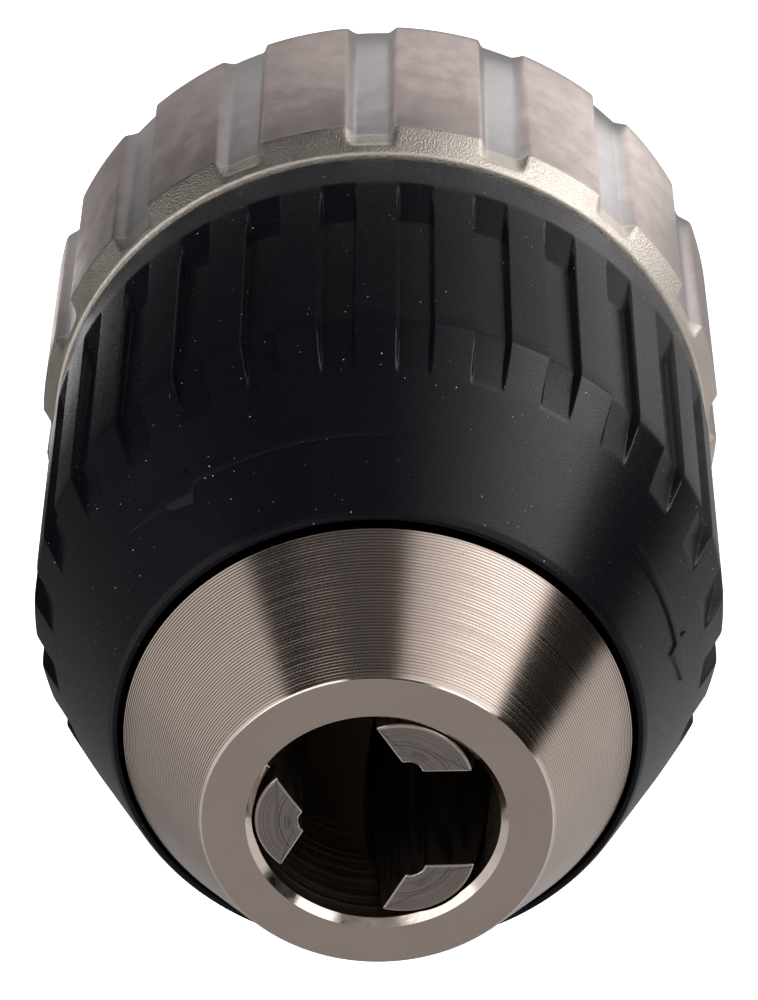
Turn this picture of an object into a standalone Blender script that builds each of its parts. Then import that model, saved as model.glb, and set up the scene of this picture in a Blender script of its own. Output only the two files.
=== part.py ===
"""A hand-tightened drill chuck: jaws, split nut, thrust bearing, sleeve, ring and body as separate solids.

The chuck stands on its rear face with +Z along its axis towards the nose. Depths are measured
back from the nose face, because that is how a chuck is dimensioned.
"""

from math import cos, pi, radians, sin, tan

import bmesh
import bpy
from mathutils import Vector

MM = 0.001

# Driving dimensions
LENGTH = 56.0 * MM  # nose face to rear face
NOSE_RADIUS = 9.85 * MM
NOSE_CHAMFER = 0.35 * MM
CONE_DEPTH = 7.75 * MM
CONE_RADIUS = 14.4 * MM
BORE_RADIUS = 6.87 * MM  # clears a 13 mm shank
BORE_CHAMFER = 0.35 * MM
BORE_DEPTH = 31.5 * MM
RING_RADIUS = 21.3 * MM
SLEEVE_RADIUS = 20.5 * MM
JAW_ANGLE = radians(15)
JAW_RADIUS = 4.15 * MM
JAW_COUNT = 3
RIB_COUNT = 28
PAD_COUNT = 16
BALL_COUNT = 15

# Jaws, in the resting position that grips a shank of just over 8 mm
JAW_FRONT = 0.3 * MM
JAW_OFFSET = 2.4 * MM  # from the chuck's axis to a jaw's own axis, in the nose face's plane
JAW_TAIL = 35.5 * MM
GRIP_RADIUS = 3.68 * MM  # where the two flats would meet
GRIP_HALF_ANGLE = radians(60)
GRIP_NOTCH_HALF_WIDTH = 0.65 * MM
GRIP_NOTCH_ROOT = 4.35 * MM
TAIL_BEVEL_RADIUS = 14.85 * MM
PASSAGE_RADIUS = 4.3 * MM
PASSAGE_END = 47.0 * MM
TOOTH_PITCH = 2.0 * MM
TOOTH_DEPTH = 0.95 * MM
TOOTH_HALF_WIDTH = 0.8 * MM
TOOTH_ROOT_HALF_WIDTH = 0.1 * MM
TOOTH_START = 13.0 * MM
TOOTH_COUNT = 11

# Body
FRONT_END = 17.2 * MM
NECK_RADIUS = 11.4 * MM
COLLAR_START = 31.2 * MM
COLLAR_END = 43.5 * MM
COLLAR_RADIUS = 17.9 * MM
HUB_RADIUS = 9.6 * MM
SPINDLE_RADIUS = 5.75 * MM  # the minor radius of a 1/2-20 thread
SPINDLE_DEPTH = 17.0 * MM
SCREW_HOLE_RADIUS = 3.4 * MM
EDGE = 0.4 * MM  # the chamfer on turned corners

# Split nut and its band
NUT_START = 18.9 * MM
NUT_END = 27.3 * MM
NUT_RADIUS = 16.9 * MM
NUT_CLEARANCE = 0.3 * MM
NUT_SPLIT = 0.3 * MM
NUT_SPLIT_ANGLE = radians(30)
BAND_START = 18.0 * MM
BAND_INNER = 17.1 * MM
BAND_RADIUS = 17.75 * MM
BAND_LIP_RADIUS = 15.2 * MM
BAND_WALL = 0.6 * MM

# Thrust bearing
BALL_RADIUS = 1.0 * MM
BALL_TRACK = 16.4 * MM
BALL_DEPTH = 28.45 * MM
BALL_POCKET = 1.15 * MM
CAGE_INNER = 14.95 * MM
CAGE_RADIUS = 17.8 * MM
CAGE_THICKNESS = 1.0 * MM
WASHER_START = 29.6 * MM
WASHER_END = 31.0 * MM
WASHER_INNER = 15.3 * MM
WASHER_RADIUS = 17.8 * MM

# Front sleeve
SLEEVE_REAR = 39.7 * MM
LIP_INNER = 14.75 * MM
LIP_OUTER = 15.05 * MM
LIP_EDGE_RADIUS = 15.3 * MM
LIP_EDGE = 0.35 * MM
LIP_START = 8.0 * MM
LIP_THROAT = 10.2 * MM
SHOULDER_RADIUS = 18.97 * MM
SHOULDER_END = 16.9 * MM
GRIP_START_RADIUS = 20.35 * MM
GRIP_START = 20.3 * MM
GRIP_END = 36.2 * MM
GRIP_FLOOR_RADIUS = 19.85 * MM
GRIP_FLOOR_START = 21.3 * MM
GRIP_FLOOR_END = 32.8 * MM
RIB_TAPER = 0.02 * MM  # how much a rib grows between the ends of the groove floors
REAR_BAND_TAPER = 0.15 * MM
SLEEVE_SEAT_RADIUS = 18.0 * MM
SLEEVE_SEAT_START = 17.8 * MM
SLEEVE_SEAT_END = 29.0 * MM
SLEEVE_SEAT_SHOULDER = 16.6 * MM
SLEEVE_BORE_RADIUS = 18.35 * MM
RIB_PHASE = radians(-1.1)
RIB_HALF_ANGLE = radians(3.45)
RIB_FOOT_ANGLE = radians(3.75)

# Rear ring
RING_FRONT = 40.0 * MM
RING_RIM_RADIUS = 20.57 * MM
RING_RIM_EDGE = 0.12 * MM
RING_BEVEL_END = 42.0 * MM
RING_FLOOR_RADIUS = 20.6 * MM
PAD_CORNER = 1.0 * MM
FLOOR_CORNER = 0.3 * MM
ROUND_CUT = 1 - cos(pi / 6)  # how far a 30 degree point of a round corner lies inside it
RING_INNER = 18.2 * MM
RING_WALL_START = 53.4 * MM
RING_HOLE = 9.9 * MM
GROOVE_FLOOR_ANGLE = radians(2.7)
GROOVE_TOP_ANGLE = radians(4.2)
PAD_MIDDLE_ANGLE = radians(2.25)  # half the middle one of a pad's three flats

# Room that a cutter or a blank takes beyond what it makes
OVERCUT = 15.0 * MM
ROD_OVERLAP = 4.0 * MM

# Facets
BODY_SEGMENTS = 60
NUT_SEGMENTS = 28
BEARING_SEGMENTS = 45
ROD_SEGMENTS = 36
CUTTER_SEGMENTS = 60
POCKET_SEGMENTS = 16


def height(depth):
    """The z of a depth behind the nose face."""
    return LENGTH - depth


def jaw_reach(depth, rod_radius):
    """How far from the chuck's axis an inclined rod reaches at a depth."""
    return JAW_OFFSET + depth * tan(JAW_ANGLE) + rod_radius / cos(JAW_ANGLE)


def clear_scene():
    for item in list(bpy.data.objects):
        bpy.data.objects.remove(item)


def material(name, color, roughness, metallic):
    mat = bpy.data.materials.new(name)
    mat.use_nodes = True
    shader = mat.node_tree.nodes["Principled BSDF"]
    shader.inputs["Base Color"].default_value = (*color, 1.0)
    shader.inputs["Roughness"].default_value = roughness
    shader.inputs["Metallic"].default_value = metallic
    return mat


def add_object(name, mesh, parent=None):
    item = bpy.data.objects.new(name, mesh)
    bpy.context.scene.collection.objects.link(item)
    item.parent = parent
    return item


def finish_mesh(name, bm, smooth_angle=30):
    """Turns a bmesh into a mesh with outward faces and smooth round surfaces."""
    bmesh.ops.recalc_face_normals(bm, faces=bm.faces)
    mesh = bpy.data.meshes.new(name)
    bm.to_mesh(mesh)
    bm.free()
    mesh.shade_smooth()
    mesh.set_sharp_from_angle(angle=radians(smooth_angle))
    return mesh


def wrapped_mesh(name, columns, closed=True):
    """Skins a closed outline round the axis. Each column is an angle with its (radius, depth) points."""
    bm = bmesh.new()
    loops = []
    for angle, outline in columns:
        loops.append([
            bm.verts.new((radius * cos(angle), radius * sin(angle), height(depth)))
            for radius, depth in outline
        ])
    pairs = list(zip(loops, loops[1:]))
    if closed:
        pairs.append((loops[-1], loops[0]))
    for here, there in pairs:
        count = len(here)
        for i in range(count):
            j = (i + 1) % count
            bm.faces.new((here[i], here[j], there[j], there[i]))
    if not closed:
        bm.faces.new(loops[0])
        bm.faces.new(loops[-1])
    return finish_mesh(name, bm)


def turned_mesh(name, outline, segments):
    """A full turn of one outline of (radius, depth) points."""
    return wrapped_mesh(name, [(2 * pi * i / segments, outline) for i in range(segments)])


def flat_ring_outline(inner, outer, start, end):
    return [(inner, start), (outer, start), (outer, end), (inner, end)]


def rod_mesh(name, radius, length, segments):
    bm = bmesh.new()
    bmesh.ops.create_cone(
        bm, cap_ends=True, segments=segments, radius1=radius, radius2=radius, depth=length
    )
    return finish_mesh(name, bm)


def prism_mesh(name, outline, low, high):
    """A flat outline of (x, y) points, extruded along Z."""
    bm = bmesh.new()
    base = bm.faces.new([bm.verts.new((x, y, low)) for x, y in outline])
    grown = bmesh.ops.extrude_face_region(bm, geom=[base])
    top = [v for v in grown["geom"] if isinstance(v, bmesh.types.BMVert)]
    bmesh.ops.translate(bm, verts=top, vec=(0, 0, high - low))
    return finish_mesh(name, bm)


def add_cutter(target, name, mesh, parent=None):
    """Cuts a mesh out of the target with a Boolean modifier."""
    tool = add_object(name, mesh, parent)
    tool.hide_render = True
    tool.display_type = "WIRE"
    cut = target.modifiers.new(name, "BOOLEAN")
    cut.operation = "DIFFERENCE"
    cut.object = tool
    return tool


def place_on_jaw_axis(item, depth):
    """Puts an object's origin on a jaw's axis at a depth, with its Z along that axis."""
    item.location = (JAW_OFFSET + depth * tan(JAW_ANGLE), 0, height(depth))
    item.rotation_euler = (0, -JAW_ANGLE, 0)


def add_stations():
    """One empty for each jaw, turned about the chuck's axis."""
    stations = []
    for index in range(JAW_COUNT):
        station = add_object(f"jaw_station_{index + 1}", None)
        station.rotation_euler = (0, 0, 2 * pi * index / JAW_COUNT)
        stations.append(station)
    return stations


def add_body(stations, steel):
    spindle_start = LENGTH - SPINDLE_DEPTH
    outline = [
        (NOSE_RADIUS - NOSE_CHAMFER, 0),
        (NOSE_RADIUS, NOSE_CHAMFER),
        (CONE_RADIUS, CONE_DEPTH),
        (CONE_RADIUS, FRONT_END - EDGE),
        (CONE_RADIUS - EDGE, FRONT_END),
        (NECK_RADIUS, FRONT_END),
        (NECK_RADIUS, COLLAR_START),
        (COLLAR_RADIUS - EDGE, COLLAR_START),
        (COLLAR_RADIUS, COLLAR_START + EDGE),
        (COLLAR_RADIUS, COLLAR_END - EDGE),
        (COLLAR_RADIUS - EDGE, COLLAR_END),
        (HUB_RADIUS, COLLAR_END),
        (HUB_RADIUS, LENGTH - EDGE),
        (HUB_RADIUS - EDGE, LENGTH),
        (SPINDLE_RADIUS + 2 * EDGE, LENGTH),
        (SPINDLE_RADIUS, LENGTH - 2 * EDGE),
        (SPINDLE_RADIUS, spindle_start),
        (SCREW_HOLE_RADIUS, spindle_start),
        (SCREW_HOLE_RADIUS, BORE_DEPTH + EDGE),
        (BORE_RADIUS - EDGE, BORE_DEPTH),
        (BORE_RADIUS, BORE_DEPTH - EDGE),
        (BORE_RADIUS, BORE_CHAMFER),
        (BORE_RADIUS + BORE_CHAMFER, 0),
    ]
    body = add_object("chuck_body", turned_mesh("chuck_body", outline, BODY_SEGMENTS))
    body.data.materials.append(steel)
    along = (PASSAGE_END + ROD_OVERLAP) / cos(JAW_ANGLE)
    for index, station in enumerate(stations):
        mesh = rod_mesh("jaw_passage", PASSAGE_RADIUS, along, ROD_SEGMENTS)
        tool = add_cutter(body, f"jaw_passage_{index + 1}", mesh, station)
        place_on_jaw_axis(tool, (PASSAGE_END - ROD_OVERLAP) / 2)


def grip_outline():
    """What is cleared in front of a jaw's gripping edge: a wide notch with a groove along its edge."""
    slope = 1 / tan(GRIP_HALF_ANGLE)
    notch = GRIP_NOTCH_HALF_WIDTH
    right_side = [
        (GRIP_NOTCH_ROOT, notch / 2),
        (GRIP_RADIUS + slope * notch, notch),
        (GRIP_RADIUS + slope * OVERCUT, OVERCUT),
        (-OVERCUT, OVERCUT),
    ]
    return right_side + [(x, -y) for x, y in reversed(right_side)]


def tooth_mesh(index):
    """Rings round the chuck's axis that cut a jaw's thread teeth, a third of a pitch on from jaw to jaw."""
    bm = bmesh.new()
    shift = TOOTH_PITCH * index / JAW_COUNT
    outer = 2 * TOOTH_DEPTH
    for number in range(TOOTH_COUNT):
        depth = TOOTH_START + shift + number * TOOTH_PITCH
        root = jaw_reach(depth, JAW_RADIUS) - TOOTH_DEPTH
        outline = [
            (root, depth - TOOTH_ROOT_HALF_WIDTH),
            (root + outer, depth - TOOTH_HALF_WIDTH),
            (root + outer, depth + TOOTH_HALF_WIDTH),
            (root, depth + TOOTH_ROOT_HALF_WIDTH),
        ]
        loops = []
        for step in range(CUTTER_SEGMENTS):
            angle = 2 * pi * step / CUTTER_SEGMENTS
            loops.append([bm.verts.new((r * cos(angle), r * sin(angle), height(d))) for r, d in outline])
        for here, there in zip(loops, loops[1:] + loops[:1]):
            for i in range(len(outline)):
                j = (i + 1) % len(outline)
                bm.faces.new((here[i], here[j], there[j], there[i]))
    return finish_mesh("jaw_teeth", bm)


def add_jaw(index, station, steel):
    """An inclined rod, cut flat in front, wedge-shaped inside, toothed outside and bevelled behind."""
    name = f"jaw_{index + 1}"
    length = (JAW_TAIL + ROD_OVERLAP) / cos(JAW_ANGLE)
    jaw = add_object(name, rod_mesh(name, JAW_RADIUS, length, ROD_SEGMENTS), station)
    place_on_jaw_axis(jaw, (JAW_TAIL - ROD_OVERLAP) / 2)
    jaw.data.materials.append(steel)
    square = [(-OVERCUT, -OVERCUT), (OVERCUT, -OVERCUT), (OVERCUT, OVERCUT), (-OVERCUT, OVERCUT)]
    face = prism_mesh("jaw_face_cut", square, height(JAW_FRONT), height(-OVERCUT))
    add_cutter(jaw, f"{name}_face_cut", face, station)
    grip = prism_mesh("jaw_grip_cut", grip_outline(), height(LENGTH), height(-OVERCUT))
    add_cutter(jaw, f"{name}_grip_cut", grip, station)
    add_cutter(jaw, f"{name}_tooth_cut", tooth_mesh(index), station)
    outside = TAIL_BEVEL_RADIUS + OVERCUT
    outline = flat_ring_outline(TAIL_BEVEL_RADIUS, outside, JAW_TAIL - OVERCUT, JAW_TAIL + OVERCUT)
    bevel = turned_mesh("jaw_tail_cut", outline, CUTTER_SEGMENTS)
    add_cutter(jaw, f"{name}_tail_cut", bevel, station)


def add_nut(steel, band_steel):
    """Two half rings whose coned bore follows the jaws, and the band round them."""
    outline = [
        (jaw_reach(NUT_START, JAW_RADIUS) + NUT_CLEARANCE, NUT_START),
        (NUT_RADIUS - EDGE, NUT_START),
        (NUT_RADIUS, NUT_START + EDGE),
        (NUT_RADIUS, NUT_END),
        (jaw_reach(NUT_END, JAW_RADIUS) + NUT_CLEARANCE, NUT_END),
    ]
    gap = NUT_SPLIT / NUT_RADIUS
    for letter, start in (("a", NUT_SPLIT_ANGLE), ("b", NUT_SPLIT_ANGLE + pi)):
        step = (pi - gap) / NUT_SEGMENTS
        columns = [(start + gap / 2 + step * i, outline) for i in range(NUT_SEGMENTS + 1)]
        half = add_object(f"nut_half_{letter}", wrapped_mesh(f"nut_half_{letter}", columns, closed=False))
        half.data.materials.append(steel)
    band_outline = [
        (BAND_LIP_RADIUS, BAND_START),
        (BAND_RADIUS - EDGE, BAND_START),
        (BAND_RADIUS, BAND_START + EDGE),
        (BAND_RADIUS, NUT_END),
        (BAND_INNER, NUT_END),
        (BAND_INNER, BAND_START + BAND_WALL),
        (BAND_LIP_RADIUS, BAND_START + BAND_WALL),
    ]
    band = add_object("nut_band", turned_mesh("nut_band", band_outline, BODY_SEGMENTS))
    band.data.materials.append(band_steel)


def add_bearing(race_steel, cage_metal, ball_steel):
    washer_outline = flat_ring_outline(WASHER_INNER, WASHER_RADIUS, WASHER_START, WASHER_END)
    washer = add_object("thrust_washer", turned_mesh("thrust_washer", washer_outline, BEARING_SEGMENTS))
    washer.data.materials.append(race_steel)

    half = CAGE_THICKNESS / 2
    cage_outline = flat_ring_outline(CAGE_INNER, CAGE_RADIUS, BALL_DEPTH - half, BALL_DEPTH + half)
    cage = add_object("ball_cage", turned_mesh("ball_cage", cage_outline, BEARING_SEGMENTS))
    cage.data.materials.append(cage_metal)

    bm = bmesh.new()
    bmesh.ops.create_icosphere(bm, subdivisions=2, radius=BALL_RADIUS)
    ball_mesh = finish_mesh("bearing_ball", bm, smooth_angle=180)
    ball_mesh.materials.append(ball_steel)

    pockets = bmesh.new()
    for index in range(BALL_COUNT):
        angle = 2 * pi * index / BALL_COUNT
        place = Vector((BALL_TRACK * cos(angle), BALL_TRACK * sin(angle), height(BALL_DEPTH)))
        ball = add_object(f"ball_{index + 1:02d}", ball_mesh)
        ball.location = place
        hole = bmesh.ops.create_cone(
            pockets, cap_ends=True, segments=POCKET_SEGMENTS,
            radius1=BALL_POCKET, radius2=BALL_POCKET, depth=3 * CAGE_THICKNESS,
        )
        bmesh.ops.translate(pockets, verts=hole["verts"], vec=place)
    add_cutter(cage, "cage_pockets", finish_mesh("cage_pockets", pockets))


def sleeve_outline(on_rib):
    """The sleeve's section. Between ribs the outside drops to a groove floor that runs out at both ends."""
    if on_rib:
        grip_start = GRIP_START_RADIUS
        floor_start = GRIP_START_RADIUS + RIB_TAPER
        floor_end = SLEEVE_RADIUS - RIB_TAPER
    else:
        run = (GRIP_START - SHOULDER_END) / (GRIP_FLOOR_START - SHOULDER_END)
        grip_start = SHOULDER_RADIUS + run * (GRIP_FLOOR_RADIUS - SHOULDER_RADIUS)
        floor_start = GRIP_FLOOR_RADIUS
        floor_end = GRIP_FLOOR_RADIUS
    return [
        (LIP_INNER, LIP_START),
        (LIP_OUTER, LIP_START),
        (LIP_EDGE_RADIUS, LIP_START + LIP_EDGE),
        (SHOULDER_RADIUS, SHOULDER_END),
        (grip_start, GRIP_START),
        (floor_start, GRIP_FLOOR_START),
        (floor_end, GRIP_FLOOR_END),
        (SLEEVE_RADIUS, GRIP_END),
        (SLEEVE_RADIUS - REAR_BAND_TAPER, SLEEVE_REAR - EDGE),
        (SLEEVE_RADIUS - REAR_BAND_TAPER - EDGE, SLEEVE_REAR),
        (SLEEVE_BORE_RADIUS, SLEEVE_REAR),
        (SLEEVE_BORE_RADIUS, SLEEVE_SEAT_END + EDGE),
        (SLEEVE_SEAT_RADIUS, SLEEVE_SEAT_END),
        (SLEEVE_SEAT_RADIUS, SLEEVE_SEAT_START),
        (SLEEVE_SEAT_SHOULDER, SLEEVE_SEAT_START),
        (LIP_INNER, LIP_THROAT),
    ]


def add_front_sleeve(plastic):
    rib, floor = sleeve_outline(True), sleeve_outline(False)
    pitch = 2 * pi / RIB_COUNT
    columns = []
    for number in range(RIB_COUNT):
        centre = RIB_PHASE + number * pitch
        columns += [
            (centre - RIB_HALF_ANGLE, rib),
            (centre + RIB_HALF_ANGLE, rib),
            (centre + RIB_FOOT_ANGLE, floor),
            (centre + pitch - RIB_FOOT_ANGLE, floor),
        ]
    sleeve = add_object("front_sleeve", wrapped_mesh("front_sleeve", columns))
    sleeve.data.materials.append(plastic)


def ring_outline(on_pad):
    """The ring's section. A pad starts in a bevel behind the rim and ends in a rounded rear corner."""
    raised = RING_RADIUS if on_pad else RING_FLOOR_RADIUS
    corner = PAD_CORNER if on_pad else FLOOR_CORNER
    return [
        (RING_INNER, RING_FRONT),
        (RING_RIM_RADIUS - RING_RIM_EDGE, RING_FRONT),
        (RING_RIM_RADIUS, RING_FRONT + RING_RIM_EDGE),
        (raised, RING_BEVEL_END),
        (raised, LENGTH - corner),
        (raised - ROUND_CUT * corner, LENGTH - corner / 2),
        (raised - corner / 2, LENGTH - ROUND_CUT * corner),
        (raised - corner, LENGTH),
        (RING_HOLE, LENGTH),
        (RING_HOLE, RING_WALL_START),
        (RING_INNER, RING_WALL_START),
    ]


def add_rear_ring(metal):
    pad, floor = ring_outline(True), ring_outline(False)
    pitch = 2 * pi / PAD_COUNT
    columns = []
    for number in range(PAD_COUNT):
        groove = number * pitch
        columns += [
            (groove - GROOVE_FLOOR_ANGLE, floor),
            (groove + GROOVE_FLOOR_ANGLE, floor),
            (groove + GROOVE_TOP_ANGLE, pad),
            (groove + pitch / 2 - PAD_MIDDLE_ANGLE, pad),
            (groove + pitch / 2 + PAD_MIDDLE_ANGLE, pad),
            (groove + pitch - GROOVE_TOP_ANGLE, pad),
        ]
    ring = add_object("rear_ring", wrapped_mesh("rear_ring", columns))
    ring.data.materials.append(metal)


def build():
    clear_scene()
    body_steel = material("body_steel", (0.46, 0.43, 0.41), 0.28, 1.0)
    jaw_steel = material("jaw_steel", (0.42, 0.40, 0.38), 0.35, 1.0)
    nut_steel = material("nut_steel", (0.33, 0.32, 0.31), 0.4, 1.0)
    band_steel = material("band_steel", (0.5, 0.49, 0.47), 0.35, 1.0)
    race_steel = material("race_steel", (0.55, 0.54, 0.53), 0.2, 1.0)
    cage_metal = material("cage_metal", (0.62, 0.5, 0.28), 0.35, 1.0)
    ball_steel = material("ball_steel", (0.7, 0.7, 0.7), 0.08, 1.0)
    sleeve_plastic = material("sleeve_plastic", (0.012, 0.012, 0.014), 0.45, 0.0)
    ring_metal = material("ring_metal", (0.45, 0.42, 0.40), 0.45, 1.0)
    stations = add_stations()
    add_body(stations, body_steel)
    for index, station in enumerate(stations):
        add_jaw(index, station, jaw_steel)
    add_nut(nut_steel, band_steel)
    add_bearing(race_steel, cage_metal, ball_steel)
    add_front_sleeve(sleeve_plastic)
    add_rear_ring(ring_metal)


build()
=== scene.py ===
from math import cos, floor, pi, radians, sin, tan

import bmesh
import bpy
from mathutils import Matrix, Vector


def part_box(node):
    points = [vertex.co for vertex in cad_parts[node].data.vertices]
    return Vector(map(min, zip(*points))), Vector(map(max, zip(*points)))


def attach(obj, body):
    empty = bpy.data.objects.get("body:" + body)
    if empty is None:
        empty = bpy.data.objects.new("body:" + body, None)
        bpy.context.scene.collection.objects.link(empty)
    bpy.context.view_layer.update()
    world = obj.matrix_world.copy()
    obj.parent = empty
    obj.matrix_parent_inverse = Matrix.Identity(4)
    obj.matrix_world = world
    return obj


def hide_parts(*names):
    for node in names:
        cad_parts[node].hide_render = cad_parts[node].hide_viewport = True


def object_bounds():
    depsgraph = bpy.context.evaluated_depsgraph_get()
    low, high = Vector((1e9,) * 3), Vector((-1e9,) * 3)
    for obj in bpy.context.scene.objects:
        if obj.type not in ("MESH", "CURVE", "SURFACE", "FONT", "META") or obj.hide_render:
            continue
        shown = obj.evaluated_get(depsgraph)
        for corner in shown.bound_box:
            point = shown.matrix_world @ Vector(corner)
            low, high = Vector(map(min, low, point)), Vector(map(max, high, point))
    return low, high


MM = 0.001

# The chuck's driving dimensions, in millimetres. Depths are measured back from the nose face.
NOSE_RADIUS = 9.85
NOSE_EDGE = 0.16
BORE_CHAMFER = 0.4
CONE_DEPTH = 7.75
CONE_START = NOSE_EDGE
CONE_SPAN = CONE_DEPTH - CONE_START
CONE_RADIUS = 14.4
CONE_BACK = 8.0
CONE_LINES = 48
CONE_LINE_DEPTH = 0.016
CONE_LINE_STEPS = 6
BORE_RADIUS = 6.87
BORE_DEPTH = 31.5
BORE_DIVISIONS = (20, 8)
JAW_ANGLE = radians(15)
JAW_COUNT = 3
JAW_RADIUS = 4.15
JAW_OFFSET = 2.4
JAW_FRONT = 0.3
JAW_TAIL = 35.5
TAIL_BEVEL_RADIUS = 14.85
GRIP_RADIUS = 3.68
GRIP_HALF_ANGLE = radians(60)
GRIP_NOTCH_HALF_WIDTH = 0.65
GRIP_NOTCH_ROOT = 4.35
PASSAGE_RADIUS = 4.3
PASSAGE_END = 47.0
TOOTH_PITCH = 2.0
TOOTH_DEPTH = 0.95
TOOTH_START = 13.0
TOOTH_COUNT = 11
TOOTH_TIP_HALF = 0.1
TOOTH_MOUTH_HALF = 0.8
TOOTH_REACH = 1.9
COLLAR_START = 31.2
COLLAR_END = 43.5
COLLAR_RADIUS = 17.9
FRONT_END = 17.2
NECK_RADIUS = 11.4
HUB_RADIUS = 9.6
SPINDLE_RADIUS = 5.75
SPINDLE_DEPTH = 17.0
SPINDLE_PITCH = 1.27
SPINDLE_THREAD = 0.6
THREAD_MOUTH = 0.7
THREAD_RUN_OUT = 1.2
THREAD_STEPS = 10
THREAD_GAP = 1.0
SOCKET_FLARE = (0.9, 0.3)
SOCKET_FLARE_DEPTH = 0.6
SCREW_HOLE_RADIUS = 3.4
RIB_COUNT = 28
RIB_PHASE = radians(-1.1)
RIB_HALF_ANGLE = 3.6
RIB_WALL = (RIB_HALF_ANGLE - 0.32, RIB_HALF_ANGLE + 0.32)
# Columns of points either side of a rib's middle, in degrees, close together at the wall
RIB_COLUMNS = [0.9, 1.9, 2.9, 3.15, 3.3, 3.4, 3.5, 3.6, 3.7, 3.8, 3.9, 4.05, 4.4, 5.3]
SLEEVE_REAR_RADIUS = 20.3
SLEEVE_REAR = 39.7
# The sleeve's outline as (depth, radius): along a rib, and between ribs, where the floor ramps out again
SHOULDER = [(8.35, 15.3), (16.9, 18.96)]
SLEEVE_TAIL = [(36.2, 20.5), (39.3, 20.36), (40, 20.3)]
SLEEVE_TOP = SHOULDER + [(20.3, 20.33), (21.3, 20.38)] + SLEEVE_TAIL
SLEEVE_FLOOR = SHOULDER + [(21.2, 19.83), (32.8, 19.83)] + SLEEVE_TAIL
# How far those corners are softened to either side
RIB_SOFTNESS = 0.22
FLOOR_SOFTNESS = 0.16
# Corners as (radius, depth, corner radius)
SLEEVE_LIP = [(14.75, 10.2, 0), (14.75, 8.0, 0.12), (15.05, 8.0, 0.08), (15.3, 8.35, 0.1), (15.4, 8.6, 0)]
SLEEVE_INSIDE = [
    (20.36, 39.3, 0), (SLEEVE_REAR_RADIUS, SLEEVE_REAR, 0.3), (18.35, SLEEVE_REAR, 0.2), (18.35, 29.4, 0.1),
    (18.0, 29.0, 0.1), (18.0, 17.8, 0.2), (16.6, 17.8, 0.2),
]
RING_LIP = [(18.2, 53.4, 0.4), (18.2, 40.0, 0.15), (20.34, 40.0, 0), (20.46, 40.08, 0), (20.6, 40.2, 0)]
# Runs of rows down the outside, as (first depth, last depth, rows)
SLEEVE_ROWS = [
    (8.55, 16.4, 24), (16.4, 17.6, 10), (17.6, 19.9, 8), (19.9, 21.8, 20), (21.8, 32.3, 18), (32.3, 33.2, 8),
    (33.2, 35.8, 8), (35.8, 36.6, 8), (36.6, 39.2, 8),
]
RING_ROWS = [(40.2, 41.6, 12), (41.6, 42.4, 8), (42.4, 54.8, 14)]
PAD_COUNT = 16
PAD_RADIUS = 21.3
RING_FRONT = 40.0
RING_FLOOR = 20.6
PAD_LINE = [(40.08, 20.46), (42.0, PAD_RADIUS), (57, PAD_RADIUS)]
PAD_SOFTNESS = 0.12
RING_HOLE_RADIUS = 9.9
RING_WEB = 53.4
PAD_CORNER = 1.0
GROOVE_CORNER = 0.3
PAD_COLUMNS = [1.2, 2.0, 2.5, 2.8, 3.1, 3.4, 3.7, 4.0, 4.3, 4.7, 5.2, 6.5, 8.0, 9.6]
PAD_WALL = (2.45, 4.45)
PAD_WALL_AT_RIM = (2.6, 4.2)
GROOVE_START = (40.3, 41.0)
RIM_WIDTH = 0.1
BEVEL_END = (RING_FRONT + 1.9, RING_FRONT + 2.2)
ARROW_DEPTH = 13.2
ARROW_SHAFT = 0.7
ARROW_HEAD = 2.6
ARROW_HEAD_START = 0.72
ARROW_STEPS = 60
ARROW_TIP_HALF = 0.03
TURN_ARROWS = [("turn_arrow_1", 262, 322), ("turn_arrow_2", 212, 180)]
ARROW_SECTION = [(-1, -0.05), (-0.84, 0.14), (-0.5, 0.16), (0, 0.16), (0.5, 0.16), (0.84, 0.14), (1, -0.05)]
BALL_RADIUS = 1.0
PIP_RADIUS = 4.98
PIP_SIZE = (0.3, 1.05, 0.16)
PIP_MARGIN = 0.05
JAW_EDGE = 0.13
JAW_FACE_ZONE = 0.35
# How far cutters run past what they cut: sideways, and in front of the nose face
OVERCUT = 15.0
OVERRUN = 4.0

# Columns round a full turn
BODY_COLUMNS = 192
JAW_COLUMNS = 128
TOOL_COLUMNS = 96

# Edges sharper than these many degrees stay crisp
BODY_SHARP = 40
GRIP_SHARP = 50
ARROW_SHARP = 35
CARVED_SHARP = 32
# A jaw's front edges sharper than this many degrees are rounded
EDGE_TO_ROUND = 35
FRONT_MARGIN = 0.01
# A face whose normal has a z over these looks straight forward: at the nose, and on a jaw
NOSE_FORWARD = 0.97
JAW_FORWARD = 0.98
# One under this looks sideways
SIDEWAYS = 0.05
# Places in a piece's list of materials
SHADED = 1
POLISHED = 2
RIM_HIGHLIGHT = 1

# The camera: its heading, how far it is tipped off the chuck's axis, and where the nose lies from it
VIEW_HEADING = radians(177.96)
VIEW_TILT = radians(32.66)
VIEW_ROLL = radians(0.52)
NOSE_FROM_CAMERA = Vector((-0.11, -17.87, -244.2))
LENS = 159.26
SENSOR = 36.0

# The studio: what polished metal sees around it, as (degrees to the camera's right of it, brightness)
WALL_RADIUS = 360.0
WALL_HEIGHT = 215.0
WALL_TONES = [
    (-180, 0.5), (-112, 0.6), (-98, 0.8), (-52, 0.85), (-46, 0.06), (-34, 0.05), (-28, 0.12),
    (8, 0.13), (16, 0.9), (34, 1.2), (63, 1.4), (67, 0.02), (91, 0.01), (96, 0.75), (120, 0.75), (180, 0.5),
]
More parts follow.
